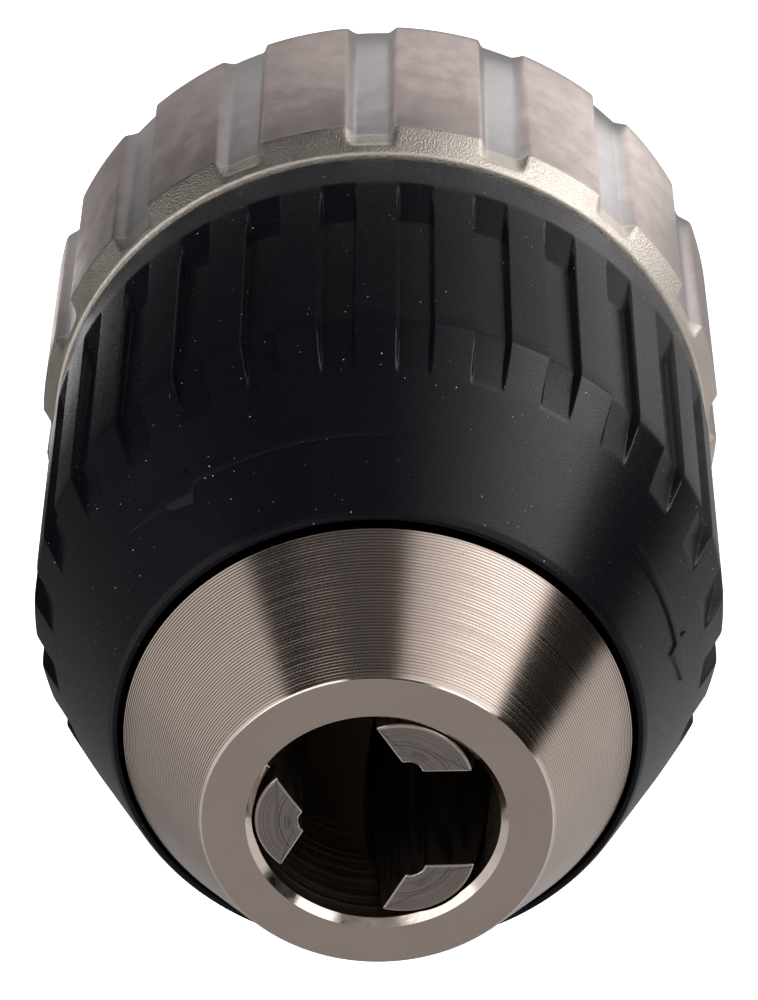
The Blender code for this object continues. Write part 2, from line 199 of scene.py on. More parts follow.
# Two soft boxes above the wall, which the bore's chamfer sees
BOX_TOP = 330.0
BOX_TONES = [
    (-180, 0.3), (-90, 0.3), (-78, 1.9), (-22, 1.9), (-15, 0.05), (28, 0.05), (36, 2.4), (62, 2.4),
    (66, 0.05), (91, 0.05), (98, 0.3), (180, 0.3),
]
# The table top that the sides see, in four zones outward from the chuck
NEAR_TABLE = (21.6, 28.5)
NEAR_TONES = [
    (-180, 1.3), (-127, 1.3), (-88, 1.35), (-72, 0.42), (-57, 0.27), (-25, 0.46), (17, 0.92), (50, 1.38),
    (60, 1.1), (70, 0.5), (85, 0.36), (112, 0.36), (180, 0.9),
]
GRIP_TABLE = (28.5, 70.0)
GRIP_TONES = [
    (-180, 0.3), (-120, 0.12), (-75, 0.03), (-30, 0.02), (5, 0.06), (42, 0.6), (62, 0.9), (89, 0.4),
    (180, 0.3),
]
MIDDLE_TABLE = (70.0, 180.0)
MIDDLE_TONES = [
    (-180, 0.4), (-120, 0.25), (-75, 0.1), (-30, 0.06), (5, 0.1), (25, 1.5), (42, 5.2), (60, 5.0), (65, 0.03),
    (90, 0.02), (96, 0.6), (120, 0.6), (180, 0.4),
]
FAR_TABLE = (180.0, WALL_RADIUS)
FAR_TONES = [
    (-180, 0.5), (-90, 0.5), (-60, 0.4), (-46, 0.03), (8, 0.04), (25, 0.9), (62, 1.4), (66, 0.01), (89, 0.01),
    (95, 0.7), (180, 0.5),
]
TABLE_ZONES = [
    ("near", NEAR_TABLE, NEAR_TONES),
    ("grip", GRIP_TABLE, GRIP_TONES),
    ("middle", MIDDLE_TABLE, MIDDLE_TONES),
    ("far", FAR_TABLE, FAR_TONES),
]
TABLE_LIFT = 0.2
CARD_SEGMENTS = 96
SKY_BRIGHTNESS = 0.37
FLOOR_SIZE = 4000.0
FLOOR_GLOW = 0.95
# The lamps as (name, degrees to the camera's right, degrees up, watts, size in metres)
LAMPS = [("key", 50, 50, 9.0, 0.5), ("fill", -60, 40, 4.0, 0.6)]
LAMP_DISTANCE = 0.9

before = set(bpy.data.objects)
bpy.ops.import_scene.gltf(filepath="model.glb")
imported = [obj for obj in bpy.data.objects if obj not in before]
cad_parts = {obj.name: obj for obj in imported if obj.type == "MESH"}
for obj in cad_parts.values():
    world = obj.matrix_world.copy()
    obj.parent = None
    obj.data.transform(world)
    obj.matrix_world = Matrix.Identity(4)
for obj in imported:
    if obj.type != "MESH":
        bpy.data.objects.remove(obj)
cad_low, cad_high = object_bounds()
LENGTH = (cad_high.z - cad_low.z) / MM


def place(radius, angle, depth):
    """A point in metres from a radius, an angle round the axis and a depth behind the nose face."""
    return Vector((radius * cos(angle), radius * sin(angle), LENGTH - depth)) * MM


def jaw_reach(depth, rod_radius):
    """How far from the chuck's axis an inclined rod reaches at a depth."""
    return JAW_OFFSET + depth * tan(JAW_ANGLE) + rod_radius / cos(JAW_ANGLE)


# Outlines


def rounded(corners, steps=3):
    """Points of a closed outline whose corners are (radius, depth, corner radius)."""
    points = []
    for i, (radius, depth, bend) in enumerate(corners):
        here = Vector((radius, depth))
        if bend == 0:
            points.append((radius, depth))
            continue
        back = (Vector(corners[i - 1][:2]) - here).normalized()
        ahead = (Vector(corners[(i + 1) % len(corners)][:2]) - here).normalized()
        half = back.angle(ahead) / 2
        centre = here + (back + ahead).normalized() * bend / sin(half)
        start = here + back * bend / tan(half) - centre
        end = here + ahead * bend / tan(half) - centre
        turn = start.angle_signed(end)
        for step in range(steps + 1):
            spoke = Matrix.Rotation(-turn * step / steps, 2) @ start
            points.append(tuple(centre + spoke))
    return points


def on_line(points, x):
    """The height at x of a line through (x, height) points."""
    for (x0, y0), (x1, y1) in zip(points, points[1:]):
        if x <= x1:
            return y0 + (y1 - y0) * (x - x0) / (x1 - x0)
    return points[-1][1]


def softened(points, x, reach):
    """The same line with its corners rounded over a reach to either side."""
    samples = [-1.0, -0.6, -0.2, 0.2, 0.6, 1.0]
    return sum(on_line(points, x + reach * s) for s in samples) / len(samples)


def smooth_step(x, low, high):
    t = min(max((x - low) / (high - low), 0.0), 1.0)
    return t * t * (3 - 2 * t)


def spread(start, end, count):
    """Evenly spaced values from start to end, without the end."""
    return [start + (end - start) * i / count for i in range(count)]


def rows_down(runs):
    """The depths of all the rows in a list of runs."""
    return [depth for run in runs for depth in spread(*run)]


# Meshes


def smooth_mesh(name, points, faces, sharp=30):
    mesh = bpy.data.meshes.new(name)
    mesh.from_pydata(points, [], faces)
    bm = bmesh.new()
    bm.from_mesh(mesh)
    bmesh.ops.recalc_face_normals(bm, faces=bm.faces)
    bm.to_mesh(mesh)
    bm.free()
    mesh.shade_smooth()
    mesh.set_sharp_from_angle(angle=radians(sharp))
    return mesh


def side_faces(count, size, wraps=False):
    """The quads between neighbours of a count of closed loops, of a size in points each."""
    faces = []
    for i in range(count if wraps else count - 1):
        here, there = i * size, (i + 1) % count * size
        for j in range(size):
            k = (j + 1) % size
            faces.append((here + j, here + k, there + k, there + j))
    return faces


def skin(name, loops, sharp=30):
    """Joins closed loops of points, the last one back to the first, into one closed surface."""
    points = [point for loop in loops for point in loop]
    return smooth_mesh(name, points, side_faces(len(loops), len(loops[0]), wraps=True), sharp)


def capped(name, loops, sharp=30):
    """Joins loops of points into one surface, closed at the first and the last loop."""
    size = len(loops[0])
    points = [point for loop in loops for point in loop]
    last = (len(loops) - 1) * size
    ends = [tuple(range(size)), tuple(range(last, last + size))]
    return smooth_mesh(name, points, ends + side_faces(len(loops), size), sharp)


def turned(name, outline, segments):
    """A full turn of one outline of (radius, depth) points."""
    loops = []
    for step in range(segments):
        angle = 2 * pi * step / segments
        loops.append([place(r, angle, d) for r, d in outline])
    return skin(name, loops)


def rod(name, radius, length, segments):
    """A cylinder about its own origin, along Z."""
    bm = bmesh.new()
    bmesh.ops.create_cone(
        bm, cap_ends=True, segments=segments, radius1=radius * MM, radius2=radius * MM, depth=length * MM
    )
    mesh = bpy.data.meshes.new(name)
    bm.to_mesh(mesh)
    bm.free()
    return mesh


def prism(name, outline, low_depth, high_depth):
    """A flat outline of (x, y) points, extruded along the chuck's axis between two depths."""
    loops = []
    for depth in (low_depth, high_depth):
        loops.append([Vector((x, y, LENGTH - depth)) * MM for x, y in outline])
    return capped(name, loops)


def add(name, mesh):
    item = bpy.data.objects.new(name, mesh)
    bpy.context.scene.collection.objects.link(item)
    return item


def on_jaw_axis(item, depth, turn=0.0):
    """Puts an object's origin on a jaw's axis at a depth, with its Z along that axis."""
    lean = Matrix.Rotation(-JAW_ANGLE, 4, "Y")
    spot = Matrix.Translation(place(JAW_OFFSET + depth * tan(JAW_ANGLE), 0, depth))
    item.matrix_world = Matrix.Rotation(turn, 4, "Z") @ spot @ lean
    return item


def jaw_axis_rod(name, radius, end_depth, segments, turn=0.0):
    """A rod along a jaw's axis, from in front of the nose face to a depth."""
    length = (end_depth + OVERRUN) / cos(JAW_ANGLE)
    return on_jaw_axis(add(name, rod(name, radius, length, segments)), (end_depth - OVERRUN) / 2, turn)


def carve(item, cutters):
    """Cuts meshes or objects out of an object and keeps the result."""
    tools = []
    for cutter in cutters:
        tool = cutter if isinstance(cutter, bpy.types.Object) else add(cutter.name, cutter)
        cut = item.modifiers.new("cut", "BOOLEAN")
        cut.object = tool
        tools.append(tool)
    bpy.context.view_layer.update()
    seen = item.evaluated_get(bpy.context.evaluated_depsgraph_get())
    mesh = bpy.data.meshes.new_from_object(seen)
    item.modifiers.clear()
    item.data = mesh
    for tool in tools:
        bpy.data.objects.remove(tool)
    mesh.shade_smooth()
    mesh.set_sharp_from_angle(angle=radians(CARVED_SHARP))
    return item


def finish_piece(item, body, nodes, slot, *materials):
    """Gives a piece its materials and ties it to the frame."""
    item.data.materials.clear()
    for mat in materials:
        item.data.materials.append(mat)
    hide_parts(*nodes)
    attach(item, body)


# Materials


class Nodes:
    """A material under construction, with short calls for the nodes it uses."""

    def __init__(self, name, color, roughness, metallic):
        self.mat = bpy.data.materials.new(name)
        self.mat.use_nodes = True
        self.tree = self.mat.node_tree
        self.shader = self.tree.nodes["Principled BSDF"]
        self.set("Base Color", (*color, 1.0))
        self.set("Roughness", roughness)
        self.set("Metallic", metallic)
        self.place = self.add("ShaderNodeTexCoord").outputs["Object"]

    def set(self, socket, value):
        self.shader.inputs[socket].default_value = value

    def add(self, kind, **settings):
        node = self.tree.nodes.new(kind)
        for name, value in settings.items():
            setattr(node, name, value)
        return node

    def link(self, source, target):
        self.tree.links.new(source, target)

    def feed(self, target, value):
        """Links a socket to a value, which is another socket or a number."""
        if isinstance(value, bpy.types.NodeSocket):
            self.link(value, target)
        else:
            target.default_value = value

    def math(self, operation, a, b=0.0):
        node = self.add("ShaderNodeMath", operation=operation)
        self.feed(node.inputs[0], a)
        self.feed(node.inputs[1], b)
        return node.outputs[0]

    def split(self):
        """The x, y and z of a point, in millimetres, from the object's own origin."""
        node = self.add("ShaderNodeSeparateXYZ")
        self.link(self.place, node.inputs[0])
        return [self.math("MULTIPLY", out, 1 / MM) for out in node.outputs]

    def distance(self, x, y):
        squares = self.math("ADD", self.math("MULTIPLY", x, x), self.math("MULTIPLY", y, y))
        return self.math("SQRT", squares)

    def noise(self, size, detail=2.0, roughness=0.5, stretch=None):
        """Noise with grains of a size in millimetres, stretched along an axis if asked."""
        node = self.add("ShaderNodeTexNoise")
        node.inputs["Scale"].default_value = 1 / (size * MM)
        node.inputs["Detail"].default_value = detail
        node.inputs["Roughness"].default_value = roughness
        source = self.place
        if stretch:
            scale = self.add("ShaderNodeMapping")
            scale.inputs["Scale"].default_value = stretch
            self.link(source, scale.inputs["Vector"])
            source = scale.outputs[0]
        self.link(source, node.inputs["Vector"])
        return node.outputs["Fac"]

    def streaks(self, value, size, detail=3.0):
        """Noise along one value, such as a distance from an axis: lines of about a size in millimetres."""
        node = self.add("ShaderNodeTexNoise", noise_dimensions="1D")
        node.inputs["Scale"].default_value = 1.0
        node.inputs["Detail"].default_value = detail
        self.link(self.math("DIVIDE", value, size), node.inputs["W"])
        return node.outputs["Fac"]

    def between(self, value, low, high, out_low=0.0, out_high=1.0):
        """Maps a range of a value smoothly on another range."""
        node = self.add("ShaderNodeMapRange", interpolation_type="SMOOTHSTEP")
        for socket, number in zip(node.inputs[1:5], (low, high, out_low, out_high)):
            self.feed(socket, number)
        self.feed(node.inputs[0], value)
        return node.outputs[0]

    def blend(self, factor, first, second):
        """A colour between two colours."""
        node = self.add("ShaderNodeMix", data_type="RGBA")
        self.feed(node.inputs["Factor"], factor)
        for socket, color in ((node.inputs[6], first), (node.inputs[7], second)):
            self.feed(socket, color if isinstance(color, bpy.types.NodeSocket) else (*color, 1.0))
        return node.outputs[2]

    def bump(self, height, depth, below=None):
        """Raises the surface by a height that runs from 0 to 1, times a depth in millimetres."""
        node = self.add("ShaderNodeBump")
        node.inputs["Distance"].default_value = depth * MM
        self.link(height, node.inputs["Height"])
        if below is not None:
            self.link(below, node.inputs["Normal"])
        return node.outputs[0]

    def done(self, color=None, roughness=None, normal=None):
        for name, source in (("Base Color", color), ("Roughness", roughness), ("Normal", normal)):
            if source is not None:
                self.link(source, self.shader.inputs[name])
        return self.mat


def turned_steel():
    """Bright steel with fine turning lines round the axis."""
    n = Nodes("turned_steel", (0.56, 0.52, 0.49), 0.22, 1.0)
    x, y, z = n.split()
    radius = n.distance(x, y)
    lines = n.streaks(n.math("ADD", radius, z), 0.05)
    tint = n.noise(3.0, detail=4.0)
    turns = n.math("MULTIPLY", n.math("SUBTRACT", LENGTH - CONE_START, z), 2 * pi * CONE_LINES / CONE_SPAN)
    groove = n.math("MULTIPLY", n.math("SUBTRACT", 1.0, n.math("COSINE", turns)), 0.5)
    on_cone = n.between(radius, NOSE_RADIUS + 0.02, NOSE_RADIUS + 0.12)
    # Colour darker at the bottoms of the cone's turned grooves: painted shade in the grooves.
    groove_shade = n.math("MULTIPLY", n.between(groove, 0.55, 1.0), on_cone)
    specks = n.between(n.noise(0.2, detail=1.0), 0.2, 0.23)
    clean = n.blend(tint, (0.62, 0.51, 0.45), (0.53, 0.43, 0.375))
    speckled = n.blend(specks, (0.3, 0.24, 0.2), clean)
    color = n.blend(groove_shade, speckled, (0.3, 0.24, 0.205))
    roughness = n.between(lines, 0.2, 0.8, 0.11, 0.21)
    return n.done(color, roughness, n.bump(lines, 0.0025))


def edge_steel():
    """The polished chamfers at the nose and the rounded front edges of the jaws."""
    n = Nodes("edge_steel", (0.66, 0.57, 0.51), 0.1, 1.0)
    wear = n.noise(0.5, detail=4.0)
    color = n.blend(wear, (0.7, 0.61, 0.55), (0.6, 0.51, 0.45))
    return n.done(color, n.between(wear, 0.3, 0.7, 0.06, 0.16), n.bump(wear, 0.003))


def bore_shade_steel():
    """Darker, browner steel inside the bore and the jaw passages: painted shade."""
    n = Nodes("bore_shade_steel", (0.05, 0.04, 0.03), 0.38, 1.0)
    z = n.split()[2]
    lines = n.streaks(z, 0.3)
    color = n.blend(n.noise(2.5, detail=4.0), (0.5, 0.38, 0.28), (0.16, 0.13, 0.1))
    return n.done(color, n.between(lines, 0.3, 0.7, 0.3, 0.5), n.bump(lines, 0.01))


def jaw_steel():
    """Ground steel. The front has turning arcs about the jaw's own axis."""
    n = Nodes("jaw_steel_ground", (0.5, 0.46, 0.43), 0.3, 1.0)
    x, y = n.split()[:2]
    arcs = n.streaks(n.distance(n.math("SUBTRACT", x, JAW_OFFSET), y), 0.09)
    tint = n.noise(1.2, detail=5.0)
    ground = n.blend(tint, (0.4, 0.345, 0.32), (0.27, 0.23, 0.21))
    marks = n.between(arcs, 0.3, 0.5, 0.75, 0.0)
    color = n.blend(marks, ground, (0.12, 0.1, 0.09))
    return n.done(color, n.between(arcs, 0.25, 0.75, 0.22, 0.42), n.bump(arcs, 0.02))


def jaw_shade_steel():
    """The jaws' flanks deep in the bore, in darker steel: painted shade."""
    n = Nodes("jaw_flank_shade_steel", (0.12, 0.1, 0.09), 0.35, 1.0)
    streaks = n.noise(0.4, detail=4.0, stretch=(1, 1, 0.15))
    color = n.blend(streaks, (0.3, 0.25, 0.21), (0.12, 0.1, 0.085))
    return n.done(color, n.between(streaks, 0.3, 0.7, 0.28, 0.45), n.bump(streaks, 0.01))


def moulded_plastic():
    """Black glass-filled nylon with a fine grain and a little dust."""
    n = Nodes("moulded_plastic", (0.004, 0.004, 0.004), 0.42, 0.0)
    n.set("Specular IOR Level", 0.19)
    grain = n.noise(0.11, detail=3.0, roughness=0.6)
    waves = n.noise(5.0, detail=2.0)
    dust = n.between(n.noise(0.16, detail=0.0), 0.86, 0.9)
    black = n.blend(waves, (0.0018, 0.0012, 0.0024), (0.0028, 0.0021, 0.0036))
    color = n.blend(dust, black, (0.25, 0.24, 0.23))
    grainy = n.bump(grain, 0.008)
    return n.done(color, n.between(grain, 0.3, 0.7, 0.2, 0.32), n.bump(waves, 0.02, grainy))


def ring_nickel():
    """Satin nickel over a blasted casting, rough and sparkling on the bevel at its front, where a lighter
    colour is a painted highlight.
    """
    n = Nodes("ring_nickel", (0.6, 0.55, 0.52), 0.36, 1.0)
    x, y, z = n.split()
    depth = n.math("SUBTRACT", LENGTH, z)
    bevel = n.between(depth, *BEVEL_END, 1.0, 0.0)
    mottle = n.noise(1.6, detail=6.0, roughness=0.62)
    pits = n.noise(0.09, detail=2.0)
    grit = n.noise(0.11, detail=2.0)
    on_pad = n.between(n.distance(x, y), RING_FLOOR + 0.2, PAD_RADIUS - 0.1)
    pad = n.blend(n.between(mottle, 0.3, 0.7), (0.62, 0.52, 0.49), (0.54, 0.455, 0.43))
    satin = n.blend(on_pad, (0.6, 0.56, 0.56), pad)
    # The bevel's lighter colour is a painted highlight; its grit is a bump.
    color = n.blend(bevel, satin, (0.84, 0.75, 0.67))
    rough = n.between(mottle, 0.3, 0.7, 0.32, 0.44)
    fine = n.bump(pits, 0.01)
    coarse = n.bump(n.math("MULTIPLY", grit, bevel), 0.05, fine)
    return n.done(color, rough, coarse)


def rim_highlight_nickel():
    """The bright edge at the ring's front: a painted highlight."""
    n = Nodes("rim_highlight_nickel", (0.9, 0.84, 0.76), 0.55, 1.0)
    wear = n.noise(0.2, detail=4.0)
    color = n.blend(wear, (0.95, 0.88, 0.8), (0.8, 0.72, 0.64))
    return n.done(color, n.between(wear, 0.3, 0.7, 0.45, 0.65), n.bump(wear, 0.02))


def machined_steel(name, light, bore_shade, roughness, line_size):
    """Plain machined steel for the pieces inside."""
    n = Nodes(name, light, roughness, 1.0)
    x, y, z = n.split()
    lines = n.streaks(n.math("ADD", n.distance(x, y), z), line_size)
    color = n.blend(n.noise(1.5, detail=4.0), light, bore_shade)
    wear = n.between(lines, 0.25, 0.75, roughness * 0.8, roughness * 1.3)
    return n.done(color, wear, n.bump(lines, 0.006))


def polished_ball():
    n = Nodes("polished_ball", (0.72, 0.71, 0.7), 0.08, 1.0)
    scuffs = n.noise(0.3, detail=5.0)
    color = n.blend(scuffs, (0.74, 0.73, 0.72), (0.66, 0.65, 0.64))
    return n.done(color, n.between(scuffs, 0.3, 0.7, 0.05, 0.14), n.bump(scuffs, 0.001))


# Pieces


def body_outline(turn):
    """The body's section at an angle: turned lines on the cone, and a thread in the rear socket."""
    front = rounded([
        (BORE_RADIUS, BORE_CHAMFER + 0.05, 0), (BORE_RADIUS, BORE_CHAMFER, 0),
        (BORE_RADIUS + BORE_CHAMFER, 0, 0), (NOSE_RADIUS - NOSE_EDGE, 0, 0.05), (NOSE_RADIUS, NOSE_EDGE, 0),
    ])[:-1]
    cone = []
    steps = CONE_LINES * CONE_LINE_STEPS
    for i in range(steps + 1):
        share = i / steps
        depth = CONE_START + CONE_SPAN * share
        radius = NOSE_RADIUS + (CONE_RADIUS - NOSE_RADIUS) * share
        line = CONE_LINE_DEPTH * (1 - cos(2 * pi * CONE_LINES * share)) / 2
        cone.append((radius - line, depth))
    middle = rounded([
        (CONE_RADIUS, CONE_BACK, 0), (CONE_RADIUS, FRONT_END, 0.4), (NECK_RADIUS, FRONT_END, 0.5),
        (NECK_RADIUS, COLLAR_START, 0.5), (COLLAR_RADIUS, COLLAR_START, 0.4),
        (COLLAR_RADIUS, COLLAR_END, 0.4), (HUB_RADIUS, COLLAR_END, 0.6), (HUB_RADIUS, LENGTH, 0.4),
        (SPINDLE_RADIUS + SOCKET_FLARE[0], LENGTH, 0.08),
        (SPINDLE_RADIUS + SOCKET_FLARE[1], LENGTH - SOCKET_FLARE_DEPTH, 0),
    ])
    thread = []
    thread_end = LENGTH - SPINDLE_DEPTH + THREAD_GAP
    mouth = LENGTH - THREAD_MOUTH
    rows = int((mouth - thread_end) / SPINDLE_PITCH * THREAD_STEPS)
    for i in range(rows + 1):
        depth = mouth - (mouth - thread_end) * i / rows
        phase = depth / SPINDLE_PITCH - turn / (2 * pi)
        tooth = abs(phase - floor(phase) - 0.5) * 2
        fade = smooth_step(depth, thread_end, thread_end + THREAD_RUN_OUT)
        thread.append((SPINDLE_RADIUS + SPINDLE_THREAD * smooth_step(tooth, 0.1, 0.9) * fade, depth))
    inside = rounded([
        (SPINDLE_RADIUS, LENGTH - SPINDLE_DEPTH, 0.2), (SCREW_HOLE_RADIUS, LENGTH - SPINDLE_DEPTH, 0.3),
        (SCREW_HOLE_RADIUS, BORE_DEPTH, 0.3), (BORE_RADIUS, BORE_DEPTH, 0.5),
    ] + [(BORE_RADIUS, depth, 0) for depth in BORE_DIVISIONS])
    return front + cone + middle + thread + inside


def make_body(bright, bore_shade, polished):
    loops = []
    for step in range(BODY_COLUMNS):
        turn = 2 * pi * step / BODY_COLUMNS
        loops.append([place(r, turn, d) for r, d in body_outline(turn)])
    body = add("body_finish", skin("body_finish", loops, BODY_SHARP))
    passages = []
    for index in range(JAW_COUNT):
        turn = 2 * pi * index / JAW_COUNT
        passages.append(jaw_axis_rod(f"passage_{index}", PASSAGE_RADIUS, PASSAGE_END, TOOL_COLUMNS, turn))
    carve(body, passages)
    finish_piece(body, "chuck", ["chuck_body"], "body_steel", bright, bore_shade, polished)
    choose_body_finish(body.data)


def choose_body_finish(mesh):
    """Gives the bore and the jaw passages the darker steel, painted shade, and polishes the chamfers at the
    nose.
    """
    for face in mesh.polygons:
        depth = LENGTH - face.center.z / MM
        radius = face.center.xy.length / MM
        inward = face.normal.xy.dot(face.center.xy) < 0
        chamfer = NOSE_EDGE if radius > NOSE_RADIUS - NOSE_EDGE else BORE_CHAMFER
        hidden = (inward or radius < BORE_RADIUS) and radius < COLLAR_RADIUS - 1
        if depth < chamfer and face.normal.z < NOSE_FORWARD:
            face.material_index = POLISHED
        elif BORE_CHAMFER < depth < PASSAGE_END and hidden:
            face.material_index = SHADED


def sleeve_top(depth):
    """The sleeve's radius along a rib."""
    return softened(SLEEVE_TOP, depth, RIB_SOFTNESS)


def sleeve_floor(depth):
    """The sleeve's radius between ribs."""
    return softened(SLEEVE_FLOOR, depth, FLOOR_SOFTNESS)


def rib_offsets():
    """Where the sleeve's columns stand within one pitch, in degrees from a rib's middle."""
    half = 180 / RIB_COUNT
    return [-half] + [-x for x in reversed(RIB_COLUMNS)] + [0.0] + RIB_COLUMNS


def make_sleeve(plastic):
    front = rounded(SLEEVE_LIP)[:-1]
    rear = rounded(SLEEVE_INSIDE)[1:]
    depths = rows_down(SLEEVE_ROWS) + [SLEEVE_ROWS[-1][1]]
    loops = []
    for number in range(RIB_COUNT):
        centre = RIB_PHASE + 2 * pi * number / RIB_COUNT
        for offset in rib_offsets():
            angle = centre + radians(offset)
            groove = smooth_step(abs(offset), *RIB_WALL)
            outside = []
            for depth in depths:
                top = sleeve_top(depth)
                outside.append((top - groove * (top - sleeve_floor(depth)), depth))
            loops.append([place(r, angle, d) for r, d in front + outside + rear])
    sleeve = add("sleeve_finish", skin("sleeve_finish", loops, GRIP_SHARP))
    finish_piece(sleeve, "sleeve", ["front_sleeve"], "sleeve_plastic", plastic)


def arrow_half_width(share):
    """Half the width of a turn arrow at a share of its length: a slim shaft, then a head that tapers off."""
    if share < ARROW_HEAD_START:
        return ARROW_SHAFT / 2
    return max(ARROW_HEAD / 2 * (1 - share) / (1 - ARROW_HEAD_START), ARROW_TIP_HALF)


def make_arrow(name, start, end, plastic):
    """A raised turn arrow on the sleeve's shoulder, from one angle to another."""
    loops = []
    for step in range(ARROW_STEPS + 1):
        share = step / ARROW_STEPS
        angle = start + (end - start) * share
        half = arrow_half_width(share)
        loop = []
        for side, lift in ARROW_SECTION:
            depth = ARROW_DEPTH + side * half
            loop.append(place(sleeve_top(depth) + lift, angle, depth))
        loops.append(loop)
    finish_piece(add(name, capped(name, loops, ARROW_SHARP)), "sleeve", [], "sleeve_plastic", plastic)


def rear_corner(depth, corner):
    """How far a rounded rear corner draws the surface in at a depth."""
    beyond = max(depth - (LENGTH - corner), 0.0)
    return corner - max(corner ** 2 - beyond ** 2, 0.0) ** 0.5


def pad_top(depth):
    """The ring's radius along a pad, with a bevel behind the rim and a rounded rear corner."""
    return softened(PAD_LINE, depth, PAD_SOFTNESS) - rear_corner(depth, PAD_CORNER)


def groove_floor(depth):
    """The ring's radius between pads."""
    return RING_FLOOR - rear_corner(depth, GROOVE_CORNER)


def make_ring(nickel, rim):
    front = rounded(RING_LIP)[:-1]
    depths = rows_down(RING_ROWS)
    depths += [LENGTH - PAD_CORNER + PAD_CORNER * sin(radians(a)) for a in range(0, 90, 10)] + [LENGTH]
    rear = rounded([
        (PAD_RADIUS - PAD_CORNER, LENGTH, 0), (RING_HOLE_RADIUS, LENGTH, 0.2),
        (RING_HOLE_RADIUS, RING_WEB, 0.2),
    ])
    half = 180 / PAD_COUNT
    offsets = [0.0] + PAD_COLUMNS + [half] + [2 * half - x for x in reversed(PAD_COLUMNS)]
    loops = []
    for number in range(PAD_COUNT):
        for offset in offsets:
            angle = 2 * pi * number / PAD_COUNT + radians(offset)
            from_groove = min(offset, 2 * half - offset)
            raised = smooth_step(from_groove, *PAD_WALL)
            run_out = smooth_step(from_groove, *PAD_WALL_AT_RIM)
            outside = []
            for depth in depths:
                top, low = pad_top(depth), groove_floor(depth)
                start = 1 - smooth_step(depth, *GROOVE_START)
                low = min(low + start * (top - low), top)
                share = raised + (run_out - raised) * start
                outside.append((low + share * (top - low), depth))
            loops.append([place(r, angle, d) for r, d in front + outside + rear])
    ring = add("ring_finish", skin("ring_finish", loops, GRIP_SHARP))
    finish_piece(ring, "chuck", ["rear_ring"], "ring_metal", nickel, rim)
    # The thin front edge takes the bright rim material: a painted highlight.
    for face in ring.data.polygons:
        depth = LENGTH - face.center.z / MM
        if depth < RING_FRONT + RIM_WIDTH and face.center.xy.length / MM > SLEEVE_REAR_RADIUS:
            face.material_index = RIM_HIGHLIGHT


def grip_outline():
    """What is cleared inside a jaw's gripping edge: a notch, and two flats at 60 degrees to the middle."""
    slope = 1 / tan(GRIP_HALF_ANGLE)
    notch, root = GRIP_NOTCH_HALF_WIDTH, GRIP_NOTCH_ROOT
    corner = GRIP_RADIUS + slope * notch
    side = [
        (root, 0.0), (root - 0.03, notch * 0.35), (root - 0.12, notch * 0.65), (corner + 0.04, notch * 0.9),
        (corner + 0.02, notch * 1.04), (GRIP_RADIUS + slope * OVERCUT, OVERCUT), (-OVERCUT, OVERCUT),
    ]
    return side + [(x, -y) for x, y in reversed(side[1:])]


def tooth_rings(index):
    """The rings round the axis that cut one jaw's teeth, a third of a pitch on from jaw to jaw."""
    rings = []
    for number in range(TOOTH_COUNT):
        depth = TOOTH_START + TOOTH_PITCH * (number + index / JAW_COUNT)
        root = jaw_reach(depth, JAW_RADIUS) - TOOTH_DEPTH
        outline = [
            (root, depth - TOOTH_TIP_HALF), (root + TOOTH_REACH, depth - TOOTH_MOUTH_HALF),
            (root + TOOTH_REACH, depth + TOOTH_MOUTH_HALF), (root, depth + TOOTH_TIP_HALF),
        ]
        rings.append(turned(f"tooth_{number}", outline, TOOL_COLUMNS))
    return rings


def pip():
    """A small lens-shaped pocket left in a jaw's front."""
    bm = bmesh.new()
    size = Matrix.Diagonal((*(Vector(PIP_SIZE) / 2 * MM), 1))
    spot = Matrix.Translation(place(PIP_RADIUS, 0, JAW_FRONT))
    bmesh.ops.create_uvsphere(bm, u_segments=32, v_segments=16, radius=1, matrix=spot @ size)
    mesh = bpy.data.meshes.new("pip")
    bm.to_mesh(mesh)
    bm.free()
    return mesh


def near_pip(point):
    return (point.xy / MM - Vector((PIP_RADIUS, 0))).length < PIP_SIZE[1] / 2 + PIP_MARGIN


def round_front_edges(mesh, width):
    """Rounds the sharp edges that start at a jaw's front face, apart from the pocket's."""
    bm = bmesh.new()
    bm.from_mesh(mesh)
    front = (LENGTH - JAW_FRONT - FRONT_MARGIN) * MM
    chosen = []
    for edge in bm.edges:
        ends = [v.co for v in edge.verts]
        sharp = edge.is_manifold and edge.calc_face_angle() > radians(EDGE_TO_ROUND)
        if sharp and max(p.z for p in ends) > front and not all(near_pip(p) for p in ends):
            chosen.append(edge)
    bmesh.ops.bevel(bm, geom=chosen, offset=width * MM, segments=3, profile=0.5, affect="EDGES")
    bm.to_mesh(mesh)
    bm.free()
    mesh.shade_smooth()
    mesh.set_sharp_from_angle(angle=radians(CARVED_SHARP))
    for face in mesh.polygons:
        if len(face.vertices) > 4:
            face.use_smooth = False


